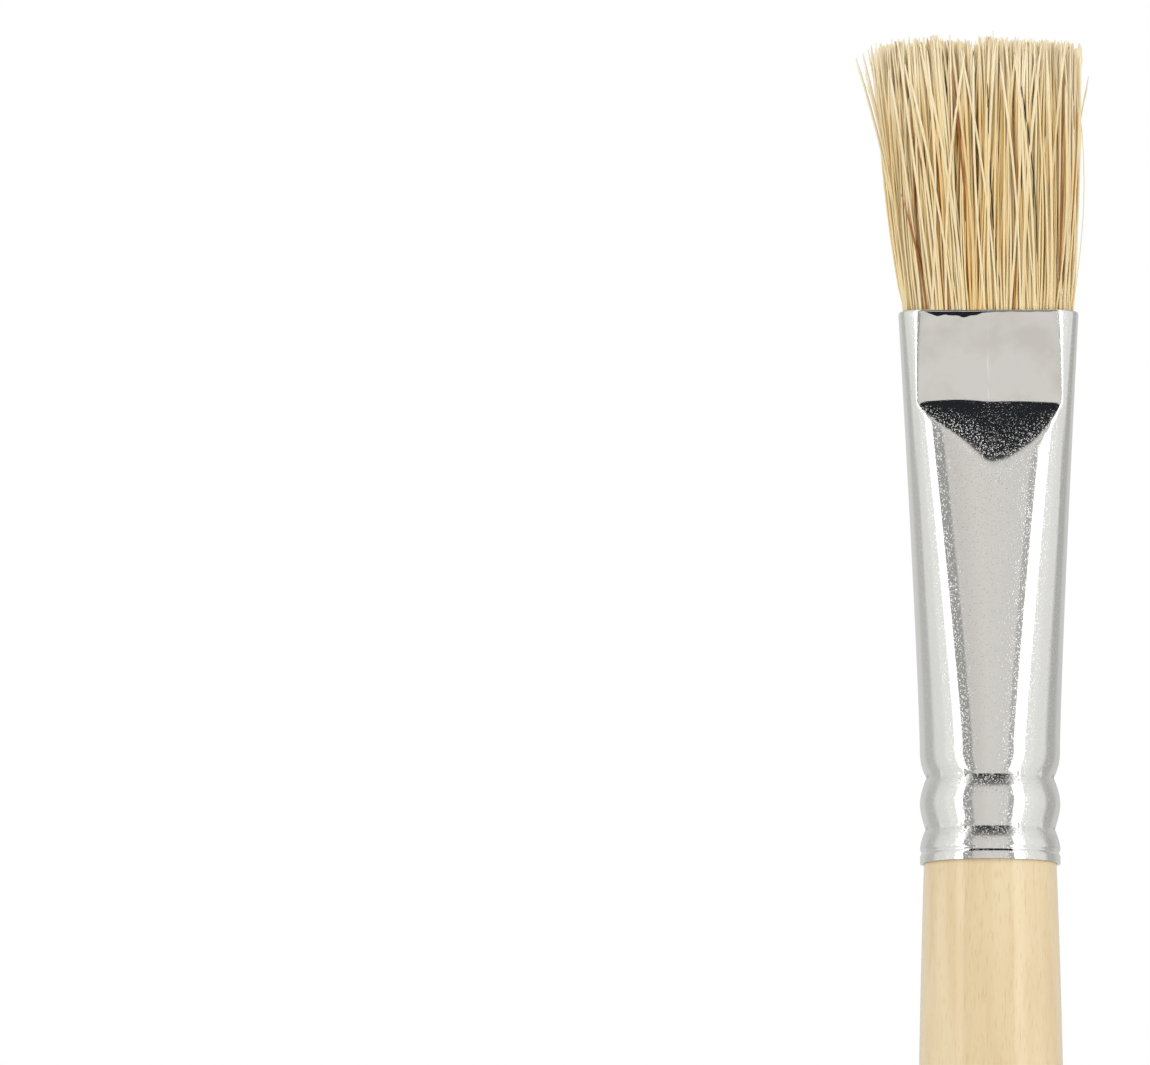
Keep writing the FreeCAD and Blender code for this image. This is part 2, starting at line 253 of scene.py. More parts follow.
@dataclass(frozen=True)
class NickelPlate:
    """Bright nickel plate on a drawn steel tube.

    The tube is plated as drawn and is not polished after, so fine bumps break the mirror: edges of
    reflections look grainy, and the pressed ramp, where the metal slid under the jaws, is full of
    short bright marks."""

    colour: str = "ECEBE8"
    stain: str = "D3CEC6"         # where the press's oil dried on the flat
    roughness: float = 0.05
    scuff: float = 0.2            # roughness that the jaws add in the crimps and below the ramp
    bump_mm: float = 0.15         # across a bump, drawn coarser than the real 0.05 mm to show
    bump_depth: float = 0.031     # height of a bump where the metal is worked most, in millimetres
    seam_mm: float = 0.12         # half the width of the thin line up the middle of the flat
    seam_depth: float = 0.012     # its height, in millimetres

    def make(self) -> Material:
        """Builds the material."""
        material, add, place = new_material("bright_nickel_plate_on_drawn_steel")
        marks = {name: add("Attribute", attribute_name=name).outputs["Fac"]
                 for name in ("worked", "pressed", "scuffed")}
        grain = add("TexNoise", {
            "Vector": place, "Scale": 1 / (self.bump_mm * MM), "Detail": 1.5, "Roughness": 0.6})
        peaks = add("MapRange", [grain, 0.58, 0.77])
        bumps = add("Math", [peaks, marks["worked"]], operation="MULTIPLY")
        bumped = add("Bump", {"Height": bumps, "Distance": self.bump_depth * MM, "Strength": 1.0})
        seam = self.seam(add, place, marks["pressed"])
        seamed = add("Bump", {
            "Height": seam, "Distance": self.seam_depth * MM, "Strength": 1.0, "Normal": bumped})
        burnished = add_mix(add, seam, linear(self.colour), (1, 1, 1, 1))
        cloud = add("TexNoise", {"Vector": place, "Scale": 260.0, "Detail": 4.0})
        stain = add("MapRange", [cloud, 0.46, 0.66, 0.0, 0.45])
        shown = add("Math", [stain, marks["pressed"]], operation="MULTIPLY")
        stained = add_mix(add, shown, burnished, linear(self.stain))
        haze = add("MapRange", [cloud, 0.0, 1.0, self.roughness * 0.7, self.roughness * 1.3])
        rough = add("Math", [marks["scuffed"], self.scuff, haze], operation="MULTIPLY_ADD")
        add_surface(add, {"Base Color": stained, "Metallic": 1.0, "Roughness": rough,
                          "Normal": seamed})
        return material

    def seam(self, add: Adder, place: Socket, pressed: Socket) -> Node:
        """Height of the thin, broken line that the press leaves up the middle of the flat.

        Args:
            add: The adder of nodes to the material.
            place: The Object coordinates.
            pressed: How much of the flat it is.

        Returns:
            The node that gives the height, 1 on the line and 0 away from it.
        """
        across = add("SeparateXYZ", [place])
        wander = add("TexNoise", {"Vector": place, "Scale": 500.0, "Detail": 2.0})
        aside = add("Math", [wander, 0.25 * MM, across], operation="MULTIPLY_ADD")
        away = add("Math", [aside], operation="ABSOLUTE")
        line = add("MapRange", [away, self.seam_mm * MM, 0.0], interpolation_type="SMOOTHSTEP")
        broken = add("MapRange", [wander, 0.36, 0.56])
        kept = add("Math", [line, broken], operation="MULTIPLY")
        return add("Math", [kept, pressed], operation="MULTIPLY")


@dataclass(frozen=True)
class LacqueredWood:
    """Pale birch, turned, sanded and dipped in clear lacquer.

    The grain runs along the handle. Birch has no rings that stand out, only short fine flecks, a
    faint cloudiness along the grain, and a lacquer that gives soft upright highlights."""

    pale: str = "EAD5AC"
    deep: str = "E0C79A"
    fleck: str = "CBA877"
    fleck_mm: float = 0.15        # across a fleck
    fleck_length: float = 9.0     # times as long as it is wide
    pore_depth: float = 0.006     # in millimetres

    def make(self) -> Material:
        """Builds the material."""
        material, add, place = new_material("turned_birch_under_clear_lacquer")
        grain = add("Mapping", {
            "Vector": place, "Scale": (1, 1, 1 / self.fleck_length), "Rotation": (0.02, 0.015, 0)})
        cloud = add("TexNoise", {"Vector": grain, "Scale": 420.0, "Detail": 5.0, "Distortion": 0.4})
        wood = add("ValToRGB", [cloud])
        set_ramp(wood, [(0.32, linear(self.deep)), (0.62, linear(self.pale))])
        flecks = add("TexNoise", {
            "Vector": grain, "Scale": 1 / (self.fleck_mm * MM), "Detail": 2.0})
        shown = add("MapRange", [flecks, 0.56, 0.76, 0.0, 0.5])
        colour = add_mix(add, shown, wood, linear(self.fleck))
        pores = add("Bump", {"Height": flecks, "Distance": self.pore_depth * MM, "Strength": 1.0})
        add_surface(add, {"Base Color": colour, "Normal": pores, "Roughness": 0.5,
                          "Coat Weight": 1.0, "Coat Roughness": 0.115, "Coat IOR": 1.5})
        return material


@dataclass(frozen=True)
class HogBristle:
    """Natural hog bristle, washed and boiled but not bleached.

    Each hair has its own tone, from cream to dark, held in the mesh's hair_tone attribute: red is
    the tone, green runs from 0 at the butt to 1 at the tip, and blue tells how far inside the tuft
    the hair stands. The inner hairs are painted a deeper gold: painted shade, standing in for the
    warm shadow between the hairs deep in the tuft."""

    dark: str = "2E2219"
    amber: str = "A0622C"
    gold: str = "ECC67E"
    straw: str = "F4DCA4"
    cream: str = "F6E6C0"
    tip: str = "FFF2D2"
    # painted shade: the deeper gold given to the hairs deep in the tuft, for the warm shadow
    # between them
    shade_gold: str = "F0CA70"

    def make(self) -> Material:
        """Builds the material."""
        material, add, _ = new_material("natural_hog_bristle")
        tone = add("Attribute", attribute_name="hair_tone")
        split = add("SeparateColor", [tone]).outputs
        hair = add("ValToRGB", [split["Red"]])
        set_ramp(hair, [(0.0, linear(self.dark)), (0.12, linear(self.dark)),
                        (0.22, linear(self.amber)), (0.42, linear(self.gold)),
                        (0.68, linear(self.straw)), (1.0, linear(self.cream))])
        own = add("MapRange", [split["Red"], 0.15, 0.4])
        # painted shade: hairs deep in the tuft turn a deeper gold, standing in for the shadow
        # between them; dark hairs keep their own tone
        inside = add("Math", [split["Blue"], own], operation="MULTIPLY")
        shade_tinted = add_mix(add, inside, hair, linear(self.shade_gold))
        paling = add("MapRange", [split["Green"], 0.66, 1.0, 0.0, 0.85],
                     interpolation_type="SMOOTHSTEP")
        paled = add("Math", [paling, own], operation="MULTIPLY")
        colour = add_mix(add, paled, shade_tinted, linear(self.tip))
        add_surface(add, {"Base Color": colour, "Roughness": 0.42, "Specular IOR Level": 0.3})
        return material


@dataclass(frozen=True)
class CastResin:
    """Amber casting resin, poured on the bristle butts and left to set, so glossy and clear."""

    pale: str = "B98A4A"
    deep: str = "9C6E34"

    def make(self) -> Material:
        """Builds the material."""
        material, add, place = new_material("cast_amber_resin")
        swirl = add("TexNoise", {"Vector": place, "Scale": 600.0, "Detail": 3.0})
        tint = add("ValToRGB", [swirl])
        set_ramp(tint, [(0.3, linear(self.deep)), (0.7, linear(self.pale))])
        add_surface(add, {"Base Color": tint, "Roughness": 0.2, "Coat Weight": 0.5})
        return material


# ---- handle

@dataclass
class Handle:
    """The turned handle: domed tail, hollow and then full taper, belly, neck and tenon."""

    rear: float    # height of the ferrule's rear end
    top: float     # height of the tenon's end
    belly: float   # radius at the belly
    tail: float = 3.2 * MM
    neck: float = 5.98 * MM
    belly_drop: float = 42 * MM
    land: float = 10 * MM
    hollow_share: float = 0.4
    tenon: float = 5.25 * MM
    segments: int = 128

    def radius_at(self, height: float) -> float:
        """The handle's radius, from the tail's dome to the neck.

        Args:
            height: Height above the tail.

        Returns:
            The radius there.
        """
        land_top = self.rear - self.belly_drop
        land_bottom = land_top - self.land
        if height <= self.tail:
            return math.sqrt(max(self.tail ** 2 - (self.tail - height) ** 2, 0))
        if height <= land_bottom:
            share = (height - self.tail) / (land_bottom - self.tail)
            rise = self.belly - self.tail
            if share < self.hollow_share:
                return self.tail + rise * share ** 2 / self.hollow_share
            return self.belly - rise * (1 - share) ** 2 / (1 - self.hollow_share)
        if height <= land_top:
            return self.belly
        return self.belly - (self.belly - self.neck) * ((height - land_top) / self.belly_drop) ** 2

    def profile(self) -> Profile:
        """The rings of the whole handle, closer together where it bends more."""
        dome = [self.tail * (1 - math.cos(step * math.pi / 24)) for step in range(1, 13)]
        shaft = np.linspace(self.tail, self.rear - 0.6 * MM, 90)[1:]
        found = [(height, self.radius_at(height)) for height in (*dome, *shaft)]
        shoulder = self.neck - 0.1 * MM
        found += [(self.rear - 0.1 * MM, self.neck), (self.rear + 0.3 * MM, self.neck),
                  (self.rear + 0.8 * MM, shoulder - 0.3 * MM)]
        return found + [(self.rear + 3 * MM, self.tenon), (self.top, self.tenon - 0.05 * MM)]

    def build(self, material: Material) -> None:
        """Models the handle and dresses it."""
        piece = rings("turned_handle", self.profile(), self.segments, closed_ends=True)
        dress(piece, material, "handle")


# ---- ferrule

@dataclass
class Ferrule:
    """The drawn tube, made as the real one is: drawn, flared, pressed flat and crimped."""

    rear: float
    mouth: float
    half_width: float            # at the mouth
    tube: float                  # radius where the tube is round
    wall: float = 0.3 * MM
    pressed_half: float = 3.1 * MM
    pressed_height: float = 8.15 * MM
    ramp_reach: Profile = (      # mm across, and mm that the ramp reaches below the crease
        (-6.6, 0.45), (-6.1, 0.8), (-5.5, 1.35), (-4.5, 2.15), (-3.0, 3.35), (-1.5, 4.9),
        (-0.2, 6.3), (0.6, 6.3), (2.0, 5.5), (3.3, 4.6), (4.4, 3.6), (5.3, 2.3), (6.1, 0.85),
        (6.6, 0.45))
    flare_power: float = 1.2
    squareness: float = 0.95     # how much squarer than an oval the section is at the mouth
    shoulder: float = 10.7 * MM  # heights from here on are above the rear end
    front_groove: float = 7.8 * MM
    front_depth: float = 0.6 * MM
    rear_groove: float = 3.1 * MM
    rear_depth: float = 0.50 * MM
    skirt: float = 0.97 * MM
    jaws: int = 14
    segments: int = 224

    def heights(self) -> Array:
        """Ring heights above the rear end, close together in the crimps, the ramp and the lip."""
        length = self.mouth - self.rear
        crease = length - self.pressed_height
        return np.concatenate([
            np.arange(0, 0.9 * MM, 0.15 * MM), np.arange(0.9 * MM, 1.7 * MM, 0.08 * MM),
            np.arange(1.7 * MM, self.shoulder + 0.4 * MM, 0.135 * MM),
            np.linspace(self.shoulder + 0.9 * MM, crease - 7.2 * MM, 24),
            np.linspace(crease - 7.0 * MM, crease + 0.6 * MM, 44),
            np.linspace(crease + 1.0 * MM, length - 1.0 * MM, 12),
            np.linspace(length - 0.85 * MM, length - 0.23 * MM, 13),
            length - np.array([0.20, 0.16, 0.12, 0.08, 0.05, 0.025, 0.01, 0]) * MM])

    def crimped_radius(self, height: Array) -> Array:
        """Radius of the crimped end, before the jaws' ridges.

        Args:
            height: Heights above the rear end.

        Returns:
            The radii there.
        """
        radius = self.tube - 0.13 * MM * np.exp(-((height - self.skirt) / (0.19 * MM)) ** 2)
        for middle, depth, below, above in (
                (self.front_groove, self.front_depth, (2.35 * MM, 1.7), (2.7 * MM, 2.6)),
                (self.rear_groove, self.rear_depth, (1.75 * MM, 1.6), (2.2 * MM, 1.5))):
            away = height - middle
            reach, power = [np.where(away < 0, *pair) for pair in zip(below, above)]
            radius = radius - depth * np.clip(1 - np.abs(away) / reach, 0, 1) ** power
        return radius

    def jaw_ridges(self, height: Array, angle: Array) -> Array:
        """How far the ridges between the crimping jaws stand out of the grooves.

        Args:
            height: Heights above the rear end.
            angle: Angles round the tube.

        Returns:
            The ridges' heights there.
        """
        pitch = 2 * math.pi / self.jaws
        off = (angle - FRONT + pitch / 2) % pitch - pitch / 2
        narrow = np.exp(-(off * self.tube / (0.14 * MM)) ** 2)
        tall = sum(depth * np.exp(-((height - middle) / (0.22 * MM)) ** 2)
                   for middle, depth in ((self.front_groove, 0.105 * MM),
                                         (self.rear_groove, 0.09 * MM)))
        return narrow * tall

    def section(self, angle: Array, share: Array) -> tuple[Array, ...]:
        """The flared section, which goes from round to a flat oval with fuller corners.

        Args:
            angle: Angles round the section.
            share: 0 at the shoulder and 1 at the mouth.

        Returns:
            The places x and y, and the direction out of the surface there.
        """
        wide = self.tube + (self.half_width - self.tube) * share ** self.flare_power
        root = np.sqrt(12 * self.tube ** 2 + 24 * self.tube * wide - 20 * wide ** 2)
        deep = (6 * self.tube - 4 * wide + root) / 6 - 0.44 * MM * share ** 3
        power = 2 + self.squareness * share
        c, s = np.abs(np.cos(angle)), np.abs(np.sin(angle))
        grow = (c ** power + s ** power) ** (-1 / power)
        x, y = wide * c * grow, deep * s * grow
        out = np.stack([(x / wide) ** (power - 1) / wide, (y / deep) ** (power - 1) / deep], 1)
        out = out / np.linalg.norm(out, axis=1, keepdims=True)
        signs = np.stack([np.sign(np.cos(angle)), np.sign(np.sin(angle))], 1)
        return x * signs[:, 0], y * signs[:, 1], out * signs

    def press(self, x: Array, y: Array, height: Array) -> tuple[Array, ...]:
        """Presses the flat and, below it, the ramp that leads back to the oval.

        Args:
            x: Places across the brush.
            y: Places through it.
            height: Heights above the rear end.

        Returns:
            The pressed y, how rough the jaws left the metal, how much of the flat it is, and how
            scuffed it is at the ramp's foot.
        """
        crease = self.mouth - self.rear - self.pressed_height - 0.36 * MM * (x / (6 * MM)) ** 2
        below = crease - height
        down = 0.5 * (below + np.sqrt(below ** 2 + (0.25 * MM) ** 2)) - 0.04 * MM
        across, reach = np.array(self.ramp_reach).T * MM
        nearby = [np.interp(x + aside * MM, across, reach) for aside in (-0.5, -0.25, 0, 0.25, 0.5)]
        ragged = 0.056 * np.sin(x / (0.11 * MM)) + 0.0455 * np.sin(x / (0.037 * MM))
        way = down / (np.mean(nearby, axis=0) + ragged * MM)
        flat_y = soft_least(np.abs(y), np.full_like(y, self.pressed_half), 0.2 * MM)
        rise = np.where(way < 2.5, 1.25 * way - 0.25 * way ** 2, 1.5625)
        limit = flat_y + (np.abs(y) - flat_y + 0.002 * MM) * rise
        pressed = soft_least(np.abs(y), limit, 0.16 * MM)
        on_ramp = smooth_step(-0.2 * MM, 0.2 * MM, below)
        squeezed = smooth_step(0.0, 0.2 * MM, np.abs(y) - flat_y)
        flat = squeezed * (1 - on_ramp)
        share = squeezed * on_ramp * smooth_step(1.35, 1.1, way)
        dragged = 0.4 * (1 - share) * (1 - 0.6 * flat) + share * (0.13 + 0.87 * np.clip(
            way, 0, 1) ** 1.6)
        foot = 0.75 * squeezed * on_ramp * np.clip(way, 0, 1) ** 3 * smooth_step(1.5, 1.0, way)
        return np.sign(y) * pressed, dragged, flat, foot

    def lip(self, x: Array, y: Array, height: Array) -> Array:
        """How far the lip rolls in. On the front it is dented, most of all at the left.

        Args:
            x: Places across the brush.
            y: Places through it.
            height: Heights above the rear end.

        Returns:
            How far in from the surface.
        """
        dent = smooth_step(-6.0 * MM, -5.2 * MM, x) * smooth_step(6.1 * MM, 5.5 * MM, x) * (y < 0)
        dent = dent * (1 - 0.8 * smooth_step(-1.4 * MM, 0.4 * MM, x))
        wander = 0.07 * np.sin(x / (0.42 * MM)) + 0.06 * np.sin(x / (0.19 * MM) + 1)
        wander = wander + 0.16 * np.exp(-((x + 2.6 * MM) / (0.9 * MM)) ** 2)
        dent_height = (0.36 + wander) * MM * dent
        roll = 0.2 * MM
        from_top = self.mouth - self.rear - height
        leaned = 0.40 * np.clip(dent_height + roll - from_top, 0, dent_height)
        into = np.clip(roll - from_top, 0, roll)
        return leaned + 0.8 * (roll - np.sqrt(roll ** 2 - into ** 2))

    def shape(self, points: Array) -> tuple[Array, dict[str, Array]]:
        """Works the plain tube into the ferrule.

        Args:
            points: The plain tube's vertices.

        Returns:
            The worked vertices, and the attributes that the plating reads, each from 0 to 1.
        """
        angle = np.arctan2(points[:, 1], points[:, 0])
        height = points[:, 2] - self.rear
        length = self.mouth - self.rear
        share = np.clip((height - self.shoulder) / (length - self.shoulder), 0, 1)
        x, y, out = self.section(angle, share)
        round_end = self.crimped_radius(height) + self.jaw_ridges(height, angle)
        x = np.where(share > 0, x, round_end * np.cos(angle))
        y = np.where(share > 0, y, round_end * np.sin(angle))
        oval_y = y
        y, dragged, flat, foot = self.press(x, y, height)
        clamped = smooth_step(0, 0.2 * MM, np.abs(oval_y) - np.abs(y))[:, None]
        straight = np.stack([np.zeros(len(y)), np.sign(y)], 1)
        out = out * (1 - clamped) + straight * clamped
        out = out / np.linalg.norm(out, axis=1, keepdims=True)
        crimped = sum(np.exp(-((height - groove + 0.6 * MM) / (0.8 * MM)) ** 2)
                      for groove in (self.front_groove, self.rear_groove))
        dragged = dragged + 0.45 * crimped
        roll = self.lip(x, y, height)
        x, y = x - out[:, 0] * roll, y - out[:, 1] * roll
        marks = {"worked": dragged, "pressed": flat, "scuffed": np.maximum(crimped, foot)}
        return np.stack([x, y, points[:, 2]], 1), marks

    def build(self, material: Material) -> None:
        """Draws the plain tube, works it, gives it its wall and dresses it."""
        profile = [(self.rear + height, self.tube) for height in self.heights()]
        piece = rings("plated_ferrule", profile, self.segments, closed_ends=False)
        points, marks = self.shape(get_points(piece.data))
        set_points(piece.data, points)
        for name, values in marks.items():
            mark = piece.data.attributes.new(name, "FLOAT", "POINT")
            mark.data.foreach_set("value", values.astype(np.float32))
        wall = piece.modifiers.new("wall", "SOLIDIFY")
        wall.thickness = self.wall
        wall.offset = -1.0
        bpy.context.view_layer.objects.active = piece
        bpy.ops.object.modifier_apply(modifier=wall.name)
        dress(piece, material, "ferrule")
        bpy.ops.object.shade_smooth_by_angle(angle=math.radians(50))


# ---- tuft

class Row(Enum):
    """The three rows of locks, from the front to the back of the tuft."""

    FRONT = "front"
    MIDDLE = "middle"
    BACK = "back"


@dataclass(frozen=True)
class Stray:
    """A single hair that stands out of the tuft, all in mm but its tone."""

    root: float        # where it leaves the ferrule, across the brush
    depth: float       # how far it stands towards the front there
    tip: float         # where its tip is, across the brush
    tip_depth: float   # how far its tip stands towards the front
    height: float      # of its tip above the ferrule's mouth
    bow: float         # how far its middle bows out, along X
    tone: float        # from 0, dark, to 1, cream
    radius: float


STRAYS = [Stray(*row) for row in (
    # spread wide at the left edge
    (-7.55, 0.6, -11.95, 0.9, 23.2, 0.55, 0.95, 0.1),
    (-7.45, -0.4, -11.3, -0.4, 23.8, 0.4, 0.9, 0.1),
    (-7.5, -1.2, -10.8, -1.4, 24.3, 0.3, 0.95, 0.095),
    (-7.3, 1.3, -9.9, 1.7, 24.0, 0.1, 0.9, 0.095),
    (-7.4, 1.6, -11.1, 1.9, 21.6, 0.35, 0.92, 0.095),
    (-7.2, 0.2, -10.3, 0.3, 23.7, 0.0, 0.85, 0.095),
    # thin and bowed at the right edge, and out past it at the top
    (7.55, 1.0, 7.7, 1.4, 23.0, 1.05, 0.95, 0.055),
    (7.45, 0.5, 8.5, 0.8, 24.1, 0.15, 0.9, 0.075),
    (7.2, -0.8, 9.2, -1.1, 21.8, -0.6, 0.95, 0.065),
    (7.5, -1.2, 7.9, -1.8, 17.4, 0.25, 0.2, 0.085),
    # longer than the rest
    (0.2, 1.0, 0.5, 1.6, 25.6, -0.3, 0.95, 0.055),
    (1.4, 0.4, 1.3, 0.6, 25.1, 0.2, 0.95, 0.05),
    (4.3, -0.6, 5.0, -0.8, 25.3, 0.1, 0.95, 0.05),
    (4.6, 0.3, 5.3, 0.5, 25.0, 0.1, 0.95, 0.05),
    # dark hairs near the front
    (1.15, 2.5, -0.15, 4.05, 20.4, -0.35, 0.05, 0.055),
    (4.2, 2.5, 2.9, 4.05, 20.2, 0.55, 0.1, 0.045),
    (-6.2, 2.35, -6.6, 2.9, 15.0, -0.2, 0.08, 0.05),
    # amber hairs near the front
    (-3.7, 2.6, -5.0, 3.6, 19.6, -0.1, 0.22, 0.1),
    (-4.1, 2.62, -6.9, 3.5, 16.5, 0.15, 0.21, 0.1),
    (-5.6, 2.58, -7.9, 3.1, 10.5, 0.1, 0.22, 0.105),
    (2.2, 2.6, 2.4, 3.7, 18.0, 0.15, 0.26, 0.095),
    # pale hairs that cross the front
    (-2.3, 2.7, -6.1, 4.05, 23.3, 0.35, 0.9, 0.13),
    (-3.9, 2.72, -2.2, 4.15, 23.2, -0.5, 0.87, 0.12),
    (0.7, 2.72, -2.6, 4.1, 23.8, 0.3, 0.95, 0.125),
    (0.2, 2.7, 0.6, 4.2, 24.0, -0.45, 0.85, 0.125),
    (4.1, 2.7, 2.3, 4.15, 23.0, 0.4, 0.9, 0.125),
    (-4.4, 2.7, -7.6, 3.9, 22.2, 0.25, 0.9, 0.125),
    (1.9, 2.72, 3.1, 4.1, 23.6, 0.3, 0.85, 0.12),
    (5.6, 2.6, 5.2, 3.9, 23.5, 0.2, 0.87, 0.125),
    (-0.4, 2.7, -1.4, 4.2, 22.9, -0.4, 0.95, 0.13),
    (-5.2, 2.66, -5.6, 4.1, 23.4, 0.5, 0.9, 0.12),
    (-3.3, 2.68, -7.0, 4.1, 20.4, 0.2, 0.88, 0.125),
    (-6.2, 2.5, -9.0, 3.5, 21.8, 0.15, 0.9, 0.12),
    (2.8, 2.7, 1.0, 4.2, 22.4, 0.35, 0.93, 0.125),
    (3.0, 2.7, 4.6, 4.1, 22.9, -0.25, 0.9, 0.125),
)]


@dataclass
class Strands:
    """Many hairs, or many split ends, with the same number of stations."""

    points: Array    # their paths, strand by station by 3
    radius: Array
    tone: Array      # from 0, dark, to 1, cream
    # painted shade: the material turns this into a deeper gold, standing in for the shadow deep in
    # the tuft
    inside: Array    # how far inside the tuft each one stands, from 0 to 1
    along: Array     # each station's place, from 0 at the butt to 1 at the tip
    taper: Array     # the radius at each station, as a share of the strand's own
    sides: int = 4   # a strand is square in section

    def __post_init__(self) -> None:
        """Models one plain strand and keeps its faces as corner numbers, ring by ring."""
        strand = rings("strand", [(step * MM, 0.1 * MM) for step in range(len(self.along))],
                       self.sides, closed_ends=True)
        corners = np.empty(len(strand.data.loops), np.int32)
        strand.data.loops.foreach_get("vertex_index", corners)
        where = get_points(strand.data)
        turn = np.arctan2(where[:, 1], where[:, 0]) / (2 * math.pi)
        order = np.rint(where[:, 2] / MM) * self.sides + np.rint(turn * self.sides) % self.sides
        bpy.data.objects.remove(strand)
        self.faces = order.astype(np.int32)[corners].reshape(-1, 4)

    def copies(self, chosen: Array, draw: np.random.Generator) -> tuple[Array, ...]:
        """Copies the plain strand along the chosen paths.

        Args:
            chosen: The numbers of the strands.
            draw: Where their turns about themselves are drawn from.

        Returns:
            All their vertices and faces, and the hair_tone of each vertex.
        """
        shape = (len(chosen), len(self.along), self.sides)
        turn = 2 * math.pi * np.arange(self.sides) / self.sides + draw.random((shape[0], 1, 1)) * 6
        width = (self.radius[chosen, None] * self.taper)[:, :, None]
        around = np.stack([np.cos(turn) * width, np.sin(turn) * width, np.zeros(shape)], 3)
        offsets = (np.arange(shape[0]) * shape[1] * shape[2])[:, None, None]
        tones = np.ones((*shape, 4))
        tones[..., 0] = self.tone[chosen, None, None]
        tones[..., 1] = self.along[:, None]
        tones[..., 2] = self.inside[chosen, None, None]
        return ((self.points[chosen, :, None] + around).reshape(-1, 3),
                (self.faces + offsets).reshape(-1, 4), tones.reshape(-1, 4))


